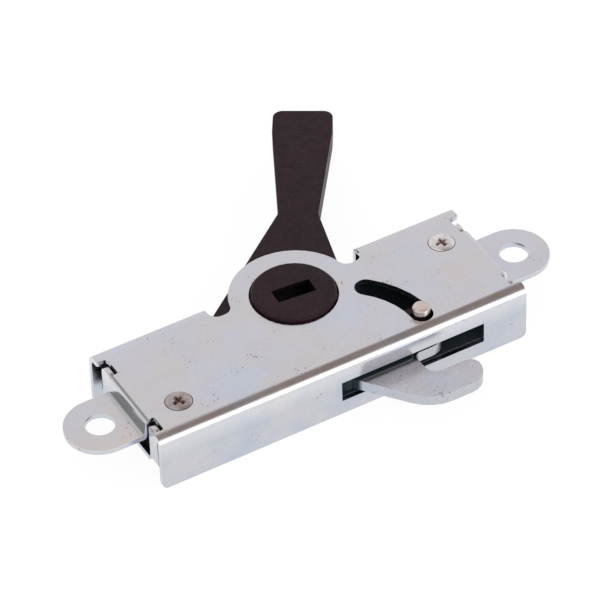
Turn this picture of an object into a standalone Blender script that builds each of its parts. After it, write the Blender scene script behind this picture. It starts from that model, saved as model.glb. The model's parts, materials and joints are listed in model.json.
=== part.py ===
"""Sliding patio door lock: a folded steel case, a hook bolt and a black thumb lever.

The case lies flat, as it would on a bench. X runs along the case, Y from the front wall, where the
hook comes out, towards the lever, and Z up through the cover. Lengths are in metres, angles in degrees.
The lock is modelled locked, with the hook out.
"""

import math

import bmesh
import bpy
from mathutils import Vector
from mathutils.geometry import delaunay_2d_cdt

# Sheet and clearances
SHEET = 0.0012
SEAT_GAP = 0.00025
RUN_GAP = 0.0003
SPIGOT_GAP = 0.0002

# Case cover
CASE_DEPTH = 0.0314
CASE_HEIGHT = 0.0139
WALL_BEND_RADIUS = 0.0022
WALL_CORNER_RADIUS = 0.0014
LOBE_RADIUS = 0.0141
NOTCH_FROM_BACK = 0.0047
NOTCH_CORNER_RADIUS = 0.0022
NOTCH_TO_LOBE = 14.0
WINDOW_LEFT_OF_HUB = 0.0186
WINDOW_RIGHT_OF_HUB = 0.0187

# Ears and the reliefs beside them
EAR_HOLE_SPACING = 0.1016
EAR_HOLE_REACH = 0.00627
EAR_HOLE_RADIUS = 0.0032
EAR_RADIUS = 0.0078
EAR_OFF_MIDDLE = 0.0008
EAR_DROP = 0.00414
JOGGLE_INSET = 0.00193
JOGGLE_ANGLE = 80.0
JOGGLE_RADIUS = 0.001
FRONT_RELIEF_WIDTH = 0.0043
BACK_RELIEF_WIDTH = 0.005
RELIEF_CORNER_RADIUS = 0.0005

# Slot in the front wall that the hook swings through
HOOK_SLOT_LEFT_OF_PIVOT = 0.00314
HOOK_SLOT_LENGTH = 0.03514
HOOK_SLOT_ABOVE = 0.00129
HOOK_SLOT_BELOW = 0.00125

# Thumb lever
HUB_X = 0.00139
HUB_FROM_BACK = 0.00688
HUB_HOLE_RADIUS = 0.00966
HUB_CLEARANCE = 0.0004
HUB_RISE = 0.001
HUB_CHAMFER = 0.0004
JOURNAL_RADIUS = 0.0065
KEYWAY_LENGTH = 0.0089
KEYWAY_WIDTH = 0.00405
KEYWAY_ANGLE = -5.4
LEVER_THICKNESS = 0.0047
LEVER_ANGLE = 58.0
LEVER_REACH = 0.0632
LEVER_TIP_WIDTH = 0.0135
LEVER_TIP_LENGTH = 0.0075
LEVER_TIP_RADIUS = 0.0022
NECK_REACH = 0.0279
NECK_WIDTH = 0.0088
NECK_RADIUS = 0.0015
LEFT_FAN_ANGLE = 20.8
RIGHT_FAN_ANGLE = 16.0
LEFT_FAN_END = 0.0065
DISC_PIVOT_CLEARANCE = 0.0031
SHOULDER_REACH = 0.0122
SHOULDER_OFFSET = 0.0111
SHOULDER_RADIUS = 0.0015

# Cam slot in the lever's tail
CAM_OUTER_WALL = 0.0013
CAM_END_WALL = 0.0012
CAM_END_PLAY = 0.0003
TAIL_CORNER_RADIUS = 0.0022
TAIL_CORNER_ANGLE = 4.0
TAIL_LEAD_ANGLE = 13.0
PLATE_DISC_START = -160.0
TAIL_TOP_Y = 0.0087
TAIL_ROOT_Y = 0.0165
TAIL_ROOT_RADIUS = 0.004

# Hook bolt
HOOK_THICKNESS = 0.0026
HOOK_GAP = 0.0003
PIVOT_X = 0.0018
PIVOT_Y = 0.0045
PIVOT_BOSS_RADIUS = 0.0032
HOOK_SWING = 43.0
PIN_RADIUS_FROM_PIVOT = 0.0195
PIN_ANGLE = 1.6
PIN_EYE_RADIUS = 0.0043
HOOK_REACH = 0.0133
HOOK_TIP_X = 0.02735
HOOK_HEEL_X = 0.0131
HOOK_HEEL_RADIUS = 0.01
HOOK_NOSE_RADIUS = 0.0047
HOOK_TOE_RADIUS = 0.0022
THROAT_X = 0.0168
THROAT_DEPTH = 0.00635
THROAT_RADIUS = 0.0026
SHELF_RADIUS = 0.0015

# Drive pin and its slot in the cover
PIN_RADIUS = 0.00195
PIN_RISE = 0.002
PIN_CHAMFER = 0.0003
PIN_SPIGOT_RADIUS = 0.00135
ARC_SLOT_WIDTH = 0.005
ARC_SLOT_END_PLAY = 0.5

# Pivot rivet
PIVOT_SHANK_RADIUS = 0.0016
PIVOT_HEAD_RADIUS = 0.0026
PIVOT_HEAD_HEIGHT = 0.0009
PIVOT_COLLAR_HEIGHT = 0.0009
RIVET_TAIL_RADIUS = 0.00135
RIVET_HEAD_RADIUS = 0.0021
RIVET_HEAD_HEIGHT = 0.0006

# Base plate
BASE_SETBACK = 0.0008
BASE_BEND_RADIUS = 0.0018
BASE_TAB_CLEARANCE = 0.0004
BASE_TAB_BELOW_TOP = 0.0009
BASE_TAB_CORNER_RADIUS = 0.0014
BASE_TAB_SIDE_RELIEF = 0.0006
BASE_LOBE_RADIUS = 0.0102
BASE_LOBE_CORNER_RADIUS = 0.0015

# Cover screws and the posts they go into
LEFT_SCREW_FROM_END = 0.0091
LEFT_SCREW_FROM_FRONT = 0.0086
RIGHT_SCREW_FROM_END = 0.0077
RIGHT_SCREW_FROM_BACK = 0.00935
SCREW_HEAD_RADIUS = 0.00285
SCREW_HEAD_RISE = 0.00035
SCREW_HEAD_CONE = 0.0016
SCREW_SHANK_RADIUS = 0.0012
SCREW_LENGTH = 0.0075
SCREW_HOLE_RADIUS = 0.0019
RECESS_SPAN = 0.0032
RECESS_WIDTH = 0.0008
RECESS_DEPTH = 0.0012
POST_RADIUS = 0.0025
POST_BORE_RADIUS = 0.00145
POST_BORE_DEPTH = 0.0075

# Over-centre spring
SPRING_WIRE = 0.0009
SPRING_COIL_RADIUS = 0.0028
SPRING_TURNS = 2
SPRING_PITCH = 0.0011
SPRING_LEVER_RADIUS = 0.0115
SPRING_LEVER_ANGLE = 178.0
SPRING_ANCHOR_REACH = 0.027
SPRING_LEG = 0.0105
SPRING_HOLE_RADIUS = 0.0008
SPRING_HOOK_DEPTH = 0.0022

# Smoothness
ARC_STEP = 9.0
FILLET_STEP = 15.0
FILLET_SHARE = 0.98
BEND_STEPS = 4
TURNED_STEPS = 32
WIRE_SIDES = 8

# Heights that follow from the sizes above, from the cover down
UNDER_COVER = CASE_HEIGHT - SHEET
LEVER_TOP = UNDER_COVER - SEAT_GAP
LEVER_BOTTOM = LEVER_TOP - LEVER_THICKNESS
HOOK_TOP = LEVER_BOTTOM - HOOK_GAP
HOOK_BOTTOM = HOOK_TOP - HOOK_THICKNESS
BASE_TOP = HOOK_BOTTOM - SPIGOT_GAP - PIVOT_COLLAR_HEIGHT - SEAT_GAP
BASE_BOTTOM = BASE_TOP - SHEET

# Places that follow from the sizes above
CASE_HALF_LENGTH = EAR_HOLE_SPACING / 2 - EAR_HOLE_REACH
JOGGLE_START = CASE_HALF_LENGTH - JOGGLE_INSET
BASE_HALF_LENGTH = CASE_HALF_LENGTH - BASE_SETBACK
EAR_CENTRE_Y = CASE_DEPTH / 2 - EAR_OFF_MIDDLE
EAR_FRONT = EAR_CENTRE_Y - EAR_RADIUS
EAR_BACK = EAR_CENTRE_Y + EAR_RADIUS
HUB = Vector((HUB_X, CASE_DEPTH - HUB_FROM_BACK))
PIVOT = Vector((PIVOT_X, PIVOT_Y))
LEVER_WINDOW_LEFT = HUB_X - WINDOW_LEFT_OF_HUB
LEVER_WINDOW_RIGHT = HUB_X + WINDOW_RIGHT_OF_HUB
NOTCH_FLOOR = CASE_DEPTH - NOTCH_FROM_BACK
SCREW_LEFT = (LEFT_SCREW_FROM_END - CASE_HALF_LENGTH, LEFT_SCREW_FROM_FRONT)
SCREW_RIGHT = (CASE_HALF_LENGTH - RIGHT_SCREW_FROM_END, CASE_DEPTH - RIGHT_SCREW_FROM_BACK)
PLATE_DISC_RADIUS = (PIVOT - HUB).length - PIVOT_HEAD_RADIUS - DISC_PIVOT_CLEARANCE
CAM_SLOT_HALF = PIN_RADIUS + SEAT_GAP

ZINC = {"colour": (0.62, 0.61, 0.63), "metallic": 0.9, "roughness": 0.32}
NICKEL = {"colour": (0.55, 0.48, 0.45), "metallic": 1.0, "roughness": 0.25}
SPRING_STEEL = {"colour": (0.3, 0.3, 0.32), "metallic": 1.0, "roughness": 0.35}
BLACK = {"colour": (0.035, 0.026, 0.027), "metallic": 0.0, "roughness": 0.5}


def polar(centre, radius, angle):
    """The point at this radius and angle round a centre."""
    turn = math.radians(angle)
    return Vector((centre[0] + radius * math.cos(turn), centre[1] + radius * math.sin(turn)))


def arc(centre, radius, start, end, step=ARC_STEP):
    """Points along an arc, both ends included."""
    steps = max(2, math.ceil(abs(end - start) / step))
    return [polar(centre, radius, start + (end - start) * i / steps) for i in range(steps + 1)]


def circle(centre, radius, step=ARC_STEP):
    return arc(centre, radius, 0, 360, step)[:-1]


def sharp(points):
    """Points as corners that take no fillet."""
    return [(point[0], point[1], 0.0) for point in points]


def fillet_reaches(corners):
    """How far each corner's fillet runs along its edges; two fillets that meet on an edge share it."""
    reaches, count = [], len(corners)
    for i, (x, y, radius) in enumerate(corners):
        here = Vector((x, y))
        before, after = Vector(corners[i - 1][:2]) - here, Vector(corners[(i + 1) % count][:2]) - here
        reaches.append(radius / math.tan(before.angle(after) / 2) if radius else 0.0)
    shares = [1.0] * count
    for i in range(count):
        after = (i + 1) % count
        edge = (Vector(corners[after][:2]) - Vector(corners[i][:2])).length
        wanted = reaches[i] + reaches[after]
        if wanted > FILLET_SHARE * edge:
            for k in (i, after):
                shares[k] = min(shares[k], FILLET_SHARE * edge / wanted)
    return [reach * share for reach, share in zip(reaches, shares)]


def rounded(corners):
    """A closed outline whose corners (x, y, radius) are filleted."""
    outline = []
    for i, ((x, y, radius), reach) in enumerate(zip(corners, fillet_reaches(corners))):
        here = Vector((x, y))
        before = Vector(corners[i - 1][:2]) - here
        after = Vector(corners[(i + 1) % len(corners)][:2]) - here
        half = before.angle(after) / 2
        if radius == 0 or math.pi / 2 - half < 1e-4:
            outline.append(here)
            continue
        size = reach * math.tan(half)
        first = here + before.normalized() * reach
        last = here + after.normalized() * reach
        centre = here + (before.normalized() + after.normalized()).normalized() * (size / math.sin(half))
        start = math.degrees(math.atan2(first.y - centre.y, first.x - centre.x))
        turn = math.degrees(math.atan2(last.y - centre.y, last.x - centre.x)) - start
        turn = (turn + 180) % 360 - 180
        outline += arc(centre, size, start, start + turn, FILLET_STEP)
    return outline


def seen_from(points, centre, angle=0.0):
    """Points of the case's frame in a frame at this centre, turned by this angle."""
    turn = math.radians(-angle)
    cos, sin = math.cos(turn), math.sin(turn)
    rest = [Vector(point[:2]) - Vector(centre) for point in points]
    return [Vector((p.x * cos - p.y * sin, p.x * sin + p.y * cos)) for p in rest]


def inside(point, loops):
    """Whether a point lies in the first loop and in none of the holes."""
    crossings = 0
    for loop in loops:
        for a, b in zip(loop, loop[1:] + loop[:1]):
            if (a[1] > point[1]) != (b[1] > point[1]):
                reach = a[0] + (point[1] - a[1]) * (b[0] - a[0]) / (b[1] - a[1])
                crossings += point[0] < reach
    return crossings % 2 == 1


def skin(loops, folds, place):
    """A closed mesh from flat loops: place(x, y, side) puts side 0 on top and side 1 underneath."""
    points, edges = [], []
    for loop in loops:
        first = len(points)
        points += [Vector(point) for point in loop]
        edges += [(first + i, first + (i + 1) % len(loop)) for i in range(len(loop))]
    for fold in folds:
        edges.append((len(points), len(points) + 1))
        points += [Vector(point) for point in fold]
    flat, _, triangles = delaunay_2d_cdt(points, edges, [], 0, 1e-8)[:3]
    kept = []
    for triangle in triangles:
        middle = sum((flat[i] for i in triangle), Vector((0, 0))) / 3
        if inside(middle, loops):
            kept.append(tuple(triangle))
    used = sorted({i for triangle in kept for i in triangle})
    form = bmesh.new()
    top = {i: form.verts.new(place(flat[i].x, flat[i].y, 0)) for i in used}
    bottom = {i: form.verts.new(place(flat[i].x, flat[i].y, 1)) for i in used}
    sides = {}
    for triangle in kept:
        form.faces.new([top[i] for i in triangle])
        form.faces.new([bottom[i] for i in reversed(triangle)])
        for a, b in zip(triangle, triangle[1:] + triangle[:1]):
            sides[(a, b)] = True
    for a, b in sides:
        if (b, a) not in sides:
            form.faces.new([top[b], top[a], bottom[a], bottom[b]])
    bmesh.ops.recalc_face_normals(form, faces=form.faces)
    return form


def material(name, finish):
    made = bpy.data.materials.new(name)
    made.use_nodes = True
    shader = made.node_tree.nodes["Principled BSDF"]
    shader.inputs["Base Color"].default_value = (*finish["colour"], 1.0)
    shader.inputs["Metallic"].default_value = finish["metallic"]
    shader.inputs["Roughness"].default_value = finish["roughness"]
    return made


def add(name, form, finish, parent):
    """One named piece from a bmesh, with its own material."""
    mesh = bpy.data.meshes.new(name)
    form.to_mesh(mesh)
    form.free()
    piece = bpy.data.objects.new(name, mesh)
    bpy.context.scene.collection.objects.link(piece)
    piece.parent = parent
    mesh.materials.append(material(name, finish))
    mesh.shade_smooth()
    mesh.set_sharp_from_angle(angle=math.radians(30))
    return piece


def axis_empty(name, place, angle, parent):
    """The empty that a moving piece hangs from, on its joint's axis."""
    empty = bpy.data.objects.new(name, None)
    bpy.context.scene.collection.objects.link(empty)
    empty.location = (place[0], place[1], 0)
    empty.rotation_euler.z = math.radians(angle)
    empty.parent = parent
    return empty


def prism(loops, bottom, top):
    return skin(loops, [], lambda x, y, side: (x, y, (top, bottom)[side]))


def turned(profile, closed=False):
    """A turned form about Z from (radius, height) points; a closed profile leaves a bore."""
    form = bmesh.new()
    ring = [form.verts.new((radius, 0, height)) for radius, height in profile]
    pairs = list(zip(ring, ring[1:] + (ring[:1] if closed else [])))
    line = [form.edges.new(pair) for pair in pairs]
    full = math.tau
    bmesh.ops.spin(form, geom=ring + line, cent=(0, 0, 0), axis=(0, 0, 1), angle=full, steps=TURNED_STEPS)
    bmesh.ops.remove_doubles(form, verts=form.verts, dist=1e-7)
    bmesh.ops.recalc_face_normals(form, faces=form.faces)
    return form


def combine(piece, name, form, operation):
    """Joins a form to a piece, or cuts it out."""
    tool = add(name, form, BLACK, piece.parent)
    tool.hide_render = True
    tool.display_type = "WIRE"
    change = piece.modifiers.new(name, "BOOLEAN")
    change.operation = operation
    change.solver = "EXACT"
    change.object = tool


class Bend:
    """A fold of sheet, followed along its middle: straight, then arcs and webs in turn."""

    def __init__(self, start, stretches):
        self.start = start
        self.stretches = stretches

    def at(self, distance):
        """How far out and down the middle of the sheet has gone, and its slope, this far along."""
        out, down, slope = self.start, 0.0, 0.0
        left = distance - self.start
        for length, angle in self.stretches:
            part = min(left, length)
            if angle == 0:
                out += part * math.cos(slope)
                down += part * math.sin(slope)
            else:
                radius = length / abs(angle)
                turn = angle * part / length
                sign = math.copysign(1, angle)
                out += sign * radius * (math.sin(slope + turn) - math.sin(slope))
                down += sign * radius * (math.cos(slope) - math.cos(slope + turn))
                slope += turn
            left -= part
            if left <= 0:
                break
        return out, down, slope

    def folds(self):
        """The distances at which the sheet needs a crease line."""
        lines, gone = [self.start], self.start
        for length, angle in self.stretches[:-1]:
            steps = BEND_STEPS if angle else 1
            lines += [gone + length * (i + 1) / steps for i in range(steps)]
            gone += length
        return lines

    def length_to_last(self):
        return self.start + sum(length for length, _ in self.stretches[:-1])


LONG = 1.0


def right_angle_bend(start, outer_radius):
    middle = outer_radius - SHEET / 2
    return Bend(start, [(middle * math.pi / 2, math.pi / 2), (LONG, 0)])


def joggle(start, drop, angle, radius):
    """Down through a steep web and level again."""
    turn = math.radians(angle)
    web = (drop - 2 * radius * (1 - math.cos(turn))) / math.sin(turn)
    return Bend(start, [(radius * turn, turn), (web, 0), (radius * turn, -turn), (LONG, 0)])


EAR_BEND = joggle(JOGGLE_START, EAR_DROP, JOGGLE_ANGLE, JOGGLE_RADIUS)
WALL_BEND = right_angle_bend(0.0, WALL_BEND_RADIUS)
FRONT_FOLD = WALL_BEND_RADIUS
BACK_FOLD = CASE_DEPTH - WALL_BEND_RADIUS


def wall_run(height):
    """How far past the fold line a point of the walls at this height lies in the flat blank."""
    return WALL_BEND.length_to_last() + CASE_HEIGHT - WALL_BEND_RADIUS - height


def ear_run(x):
    """Where a point of the ears lies in the flat blank."""
    last = EAR_BEND.length_to_last()
    return last + x - EAR_BEND.at(last)[0]


def in_lever_window(x):
    """Whether there is no back wall here, only the lobe of the top."""
    return LEVER_WINDOW_LEFT + 1e-6 < x < LEVER_WINDOW_RIGHT - 1e-6


def cover_place(x, y, side):
    """A point of the cover's blank, folded."""
    lift = SHEET * (0.5 - side)
    for screw in (SCREW_LEFT, SCREW_RIGHT):
        away = Vector((x, y)) - Vector(screw)
        if side and away.length < countersink_radius() + RUN_GAP:
            hole = Vector(screw) + away.normalized() * SCREW_HOLE_RADIUS
            return (hole.x, hole.y, UNDER_COVER)
    if abs(x) > JOGGLE_START and EAR_FRONT - SHEET < y < EAR_BACK + SHEET:
        out, down, slope = EAR_BEND.at(abs(x))
        reach = out + lift * math.sin(slope)
        height = CASE_HEIGHT - SHEET / 2 - down + lift * math.cos(slope)
        return (math.copysign(reach, x), y, height)
    if y < FRONT_FOLD:
        out, down, slope = WALL_BEND.at(FRONT_FOLD - y)
        reach = FRONT_FOLD - out - lift * math.sin(slope)
    elif y > BACK_FOLD and not in_lever_window(x):
        out, down, slope = WALL_BEND.at(y - BACK_FOLD)
        reach = BACK_FOLD + out + lift * math.sin(slope)
    else:
        reach, down, slope = y, 0.0, 0.0
    return (x, reach, CASE_HEIGHT - SHEET / 2 - down + lift * math.cos(slope))


def countersink_radius():
    return SCREW_HEAD_RADIUS + SPIGOT_GAP


def ear_outline(side):
    """The ear's outline in the blank, from its front root round to its back root, on the side +1 or -1."""
    centre = (side * ear_run(EAR_HOLE_SPACING / 2), EAR_CENTRE_Y)
    points = arc(centre, EAR_RADIUS, -90 if side > 0 else 270, 90)
    root = side * JOGGLE_START
    return [(root, EAR_FRONT, 0.0)] + sharp(points) + [(root, EAR_BACK, 0.0)]


def cover_outline():
    end = CASE_HALF_LENGTH
    front, back = FRONT_FOLD - wall_run(0.0), BACK_FOLD + wall_run(0.0)
    relief_front, relief_back = EAR_FRONT - FRONT_RELIEF_WIDTH, EAR_BACK + BACK_RELIEF_WIDTH
    inner = JOGGLE_START - RELIEF_CORNER_RADIUS
    corner, relief = WALL_CORNER_RADIUS, RELIEF_CORNER_RADIUS
    notch = NOTCH_CORNER_RADIUS
    floor_angle = math.degrees(math.asin((NOTCH_FLOOR - HUB.y) / LOBE_RADIUS))
    lobe_start = floor_angle + NOTCH_TO_LOBE
    left_floor = polar(HUB, LOBE_RADIUS, 180 - floor_angle)
    right_floor = polar(HUB, LOBE_RADIUS, floor_angle)
    right = [(end, front, corner), (end, relief_front, relief), (inner, relief_front, relief)]
    right += [(inner, EAR_FRONT, 0.0)] + ear_outline(1) + [(inner, EAR_BACK, 0.0)]
    right += [(inner, relief_back, relief), (end, relief_back, relief), (end, back, corner)]
    window = [(LEVER_WINDOW_RIGHT, back, corner), (LEVER_WINDOW_RIGHT, NOTCH_FLOOR, notch)]
    window += [(right_floor.x, NOTCH_FLOOR, notch)]
    window += sharp(arc(HUB, LOBE_RADIUS, lobe_start, 180 - lobe_start))
    window += [(left_floor.x, NOTCH_FLOOR, notch)]
    window += [(LEVER_WINDOW_LEFT, NOTCH_FLOOR, notch), (LEVER_WINDOW_LEFT, back, corner)]
    left = [(-end, back, corner), (-end, relief_back, relief), (-inner, relief_back, relief)]
    left += [(-inner, EAR_BACK, 0.0)] + ear_outline(-1)[::-1] + [(-inner, EAR_FRONT, 0.0)]
    left += [(-inner, relief_front, relief), (-end, relief_front, relief), (-end, front, corner)]
    return rounded(right + window + left)


def arc_slot():
    """The slot in the cover that the drive pin moves along."""
    first, last = PIN_ANGLE - ARC_SLOT_END_PLAY, PIN_ANGLE + HOOK_SWING + ARC_SLOT_END_PLAY
    half = ARC_SLOT_WIDTH / 2
    outer = arc(PIVOT, PIN_RADIUS_FROM_PIVOT + half, first, last)
    far_end = arc(polar(PIVOT, PIN_RADIUS_FROM_PIVOT, last), half, last, last + 180)[1:-1]
    inner = arc(PIVOT, PIN_RADIUS_FROM_PIVOT - half, last, first)
    near_end = arc(polar(PIVOT, PIN_RADIUS_FROM_PIVOT, first), half, first + 180, first + 360)[1:-1]
    return outer + far_end + inner + near_end


def hook_slot():
    low = FRONT_FOLD - wall_run(HOOK_BOTTOM - HOOK_SLOT_BELOW)
    high = FRONT_FOLD - wall_run(HOOK_TOP + HOOK_SLOT_ABOVE)
    left = PIVOT_X - HOOK_SLOT_LEFT_OF_PIVOT
    right = left + HOOK_SLOT_LENGTH
    return [Vector((left, low)), Vector((right, low)), Vector((right, high)), Vector((left, high))]


def build_cover(parent):
    """The case: one blank with its holes, folded into top, walls and ears."""
    holes = [circle(HUB, HUB_HOLE_RADIUS, 6), arc_slot(), hook_slot()]
    holes += [circle(screw, countersink_radius(), 15) for screw in (SCREW_LEFT, SCREW_RIGHT)]
    holes += [circle((s * ear_run(EAR_HOLE_SPACING / 2), EAR_CENTRE_Y), EAR_HOLE_RADIUS) for s in (-1, 1)]
    wide = 2 * CASE_HALF_LENGTH
    folds = []
    for run in WALL_BEND.folds():
        folds.append(((-wide, FRONT_FOLD - run), (wide, FRONT_FOLD - run)))
        folds.append(((-wide, BACK_FOLD + run), (wide, BACK_FOLD + run)))
    for run in EAR_BEND.folds():
        low, high = EAR_FRONT - SHEET, EAR_BACK + SHEET
        folds += [((side * run, low), (side * run, high)) for side in (-1, 1)]
    add("case_cover", skin([cover_outline()] + holes, folds, cover_place), ZINC, parent)


def pin_rest():
    """The drive pin's centre with the hook out."""
    return polar(PIVOT, PIN_RADIUS_FROM_PIVOT, PIN_ANGLE)


def tangent_angle(big, big_radius, small, small_radius):
    """The direction in which the line that touches two circles on their left lies from their centres."""
    along = Vector(small) - Vector(big)
    lean = math.degrees(math.acos((big_radius - small_radius) / along.length))
    return math.degrees(math.atan2(along.y, along.x)) % 360 - lean


def build_hook(parent):
    """The hook: an eye on the pivot, an eye round the drive pin, a throat and a blunt finger."""
    pin = pin_rest()
    shelf = pin.y - PIN_EYE_RADIUS
    top_line = tangent_angle(pin, PIN_EYE_RADIUS, PIVOT, PIVOT_BOSS_RADIUS)
    corners = [
        (HOOK_HEEL_X, -HOOK_REACH, HOOK_HEEL_RADIUS),
        (HOOK_TIP_X, -HOOK_REACH, HOOK_NOSE_RADIUS),
        (HOOK_TIP_X, -THROAT_DEPTH, HOOK_TOE_RADIUS),
        (THROAT_X, -THROAT_DEPTH, THROAT_RADIUS),
        (THROAT_X, shelf, SHELF_RADIUS),
    ]
    corners += sharp(arc(pin, PIN_EYE_RADIUS, -90, top_line, 12))
    corners += sharp(arc(PIVOT, PIVOT_BOSS_RADIUS, top_line, 270, 12))
    pivot_hole = circle(PIVOT, PIVOT_SHANK_RADIUS + SEAT_GAP, 15)
    pin_hole = circle(pin, PIN_SPIGOT_RADIUS + SPIGOT_GAP, 15)
    loops = [seen_from(loop, PIVOT) for loop in (rounded(corners), pivot_hole, pin_hole)]
    add("hook_bolt", prism(loops, HOOK_BOTTOM, HOOK_TOP), ZINC, parent)


def build_drive_pin(parent):
    """Shouldered pin, its spigot riveted into the hook and its head above the cover."""
    top = CASE_HEIGHT + PIN_RISE
    shoulder = HOOK_TOP + SEAT_GAP
    profile = [
        (0, HOOK_BOTTOM),
        (PIN_SPIGOT_RADIUS, HOOK_BOTTOM),
        (PIN_SPIGOT_RADIUS, shoulder),
        (PIN_RADIUS, shoulder),
        (PIN_RADIUS, top - PIN_CHAMFER),
        (PIN_RADIUS - PIN_CHAMFER, top),
        (0, top),
    ]
    pin = add("drive_pin", turned(profile), NICKEL, parent)
    pin.location = (*(pin_rest() - PIVOT), 0)


def cam_centre():
    """Centre of the cam slot's arc with the lever at rest.

    Lever and hook turn by equal angles, so in the lever's frame the pin keeps to an arc whose radius is
    the distance between the two axes.
    """
    return HUB + pin_rest() - PIVOT


def cam_slot():
    centre, radius = cam_centre(), (PIVOT - HUB).length
    toward = PIVOT - HUB
    rest = math.degrees(math.atan2(toward.y, toward.x))
    play = math.degrees(CAM_END_PLAY / radius)
    first, last = rest + play, rest - HOOK_SWING - play
    outer = arc(centre, radius + CAM_SLOT_HALF, last, first)
    near_end = arc(polar(centre, radius, first), CAM_SLOT_HALF, first, first + 180, 18)[1:-1]
    inner = arc(centre, radius - CAM_SLOT_HALF, first, last)
    far_end = arc(polar(centre, radius, last), CAM_SLOT_HALF, last + 180, last + 360, 18)[1:-1]
    return outer + near_end + inner + far_end


def fan_end(side, along):
    """A point of the fan's straight edge at this distance along the arm, in the lever's frame."""
    spread = LEFT_FAN_ANGLE if side > 0 else RIGHT_FAN_ANGLE
    return side * (NECK_WIDTH / 2 + (NECK_REACH - along) * math.tan(math.radians(spread)))


def arm_corners(side):
    """Tip, cheek and neck of the arm on one side, from the tip inwards, in the lever's frame."""
    half = side * LEVER_TIP_WIDTH / 2
    return [
        (LEVER_REACH, half, LEVER_TIP_RADIUS),
        (LEVER_REACH - LEVER_TIP_LENGTH, half, LEVER_TIP_LENGTH),
        (NECK_REACH, side * NECK_WIDTH / 2, NECK_RADIUS),
    ]


def tail_corners():
    """The tail round the cam slot, from the hub's left side to the fan's right edge, in the case's frame."""
    centre = cam_centre()
    radius = (PIVOT - HUB).length + CAM_SLOT_HALF + CAM_OUTER_WALL
    end_x = pin_rest().x + CAM_END_PLAY + CAM_SLOT_HALF + CAM_END_WALL
    last = -math.degrees(math.acos((end_x - centre.x) / radius))
    first = last - HOOK_SWING - TAIL_LEAD_ANGLE
    root = polar(centre, radius, first)
    away = root - HUB
    touch = math.degrees(math.atan2(away.y, away.x) - math.acos(min(1.0, PLATE_DISC_RADIUS / away.length)))
    corners = sharp(arc(HUB, PLATE_DISC_RADIUS, PLATE_DISC_START, touch))
    corners += sharp(arc(centre, radius, first, last - TAIL_CORNER_ANGLE))
    corners += [(end_x, polar(centre, radius, last).y, TAIL_CORNER_RADIUS)]
    return corners + [(end_x, TAIL_TOP_Y, TAIL_CORNER_RADIUS)]


def build_lever(parent):
    """Thumb arm, fan, hub and cam tail in one moulding, modelled with the arm along its own X axis."""
    left_end = (-LEFT_FAN_END, fan_end(1, -LEFT_FAN_END), SHOULDER_RADIUS)
    shoulder = (-SHOULDER_REACH, SHOULDER_OFFSET, SHOULDER_RADIUS)
    tail = tail_corners()
    turned_tail = seen_from(tail, HUB, LEVER_ANGLE)
    own_tail = [(point.x, point.y, corner[2]) for point, corner in zip(turned_tail, tail)]
    root_along = (TAIL_ROOT_Y - HUB.y) / math.sin(math.radians(LEVER_ANGLE + RIGHT_FAN_ANGLE))
    root = (root_along, fan_end(-1, root_along), TAIL_ROOT_RADIUS)
    corners = arm_corners(1) + [left_end, shoulder] + own_tail + [root] + arm_corners(-1)[::-1]
    lever = add("thumb_lever", prism([rounded(corners)], LEVER_BOTTOM, LEVER_TOP), BLACK, parent)

    hub_radius = HUB_HOLE_RADIUS - HUB_CLEARANCE
    hub_top = CASE_HEIGHT + HUB_RISE
    middle = (LEVER_TOP + LEVER_BOTTOM) / 2
    hub = [
        (0, BASE_BOTTOM),
        (JOURNAL_RADIUS, BASE_BOTTOM),
        (JOURNAL_RADIUS, middle),
        (hub_radius, middle),
        (hub_radius, hub_top - HUB_CHAMFER),
        (hub_radius - HUB_CHAMFER, hub_top),
        (0, hub_top),
    ]
    combine(lever, "lever_hub", turned(hub), "UNION")

    below, above = 0.0, CASE_HEIGHT + 2 * HUB_RISE
    half_length, half_width = KEYWAY_LENGTH / 2, KEYWAY_WIDTH / 2
    keyway = [(-half_length, -half_width), (half_length, -half_width)]
    keyway += [(half_length, half_width), (-half_length, half_width)]
    keyway = seen_from(keyway, (0, 0), LEVER_ANGLE - KEYWAY_ANGLE)
    combine(lever, "keyway_cutter", prism([keyway], below, above), "DIFFERENCE")
    slot = seen_from(cam_slot(), HUB, LEVER_ANGLE)
    combine(lever, "cam_slot_cutter", prism([slot], below, above), "DIFFERENCE")
    hole = seen_from(circle(spring_lever_end(), SPRING_HOLE_RADIUS, 30), HUB, LEVER_ANGLE)
    combine(lever, "spring_hole_cutter", prism([hole], below, above), "DIFFERENCE")


def build_pivot(parent):
    """Shouldered rivet: head above the hook, shank through it, collar on the base and a headed tail."""
    profile = [
        (0, BASE_BOTTOM - SEAT_GAP - RIVET_HEAD_HEIGHT),
        (RIVET_HEAD_RADIUS, BASE_BOTTOM - SEAT_GAP - RIVET_HEAD_HEIGHT),
        (RIVET_HEAD_RADIUS, BASE_BOTTOM - SEAT_GAP),
        (RIVET_TAIL_RADIUS, BASE_BOTTOM - SEAT_GAP),
        (RIVET_TAIL_RADIUS, BASE_TOP + SEAT_GAP),
        (PIVOT_HEAD_RADIUS, BASE_TOP + SEAT_GAP),
        (PIVOT_HEAD_RADIUS, HOOK_BOTTOM - SPIGOT_GAP),
        (PIVOT_SHANK_RADIUS, HOOK_BOTTOM - SPIGOT_GAP),
        (PIVOT_SHANK_RADIUS, HOOK_TOP + SPIGOT_GAP),
        (PIVOT_HEAD_RADIUS, HOOK_TOP + SPIGOT_GAP),
        (PIVOT_HEAD_RADIUS, HOOK_TOP + SPIGOT_GAP + PIVOT_HEAD_HEIGHT),
        (0, HOOK_TOP + SPIGOT_GAP + PIVOT_HEAD_HEIGHT),
    ]
    pivot = add("hook_pivot", turned(profile), NICKEL, parent)
    pivot.location = (*PIVOT, 0)


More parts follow.
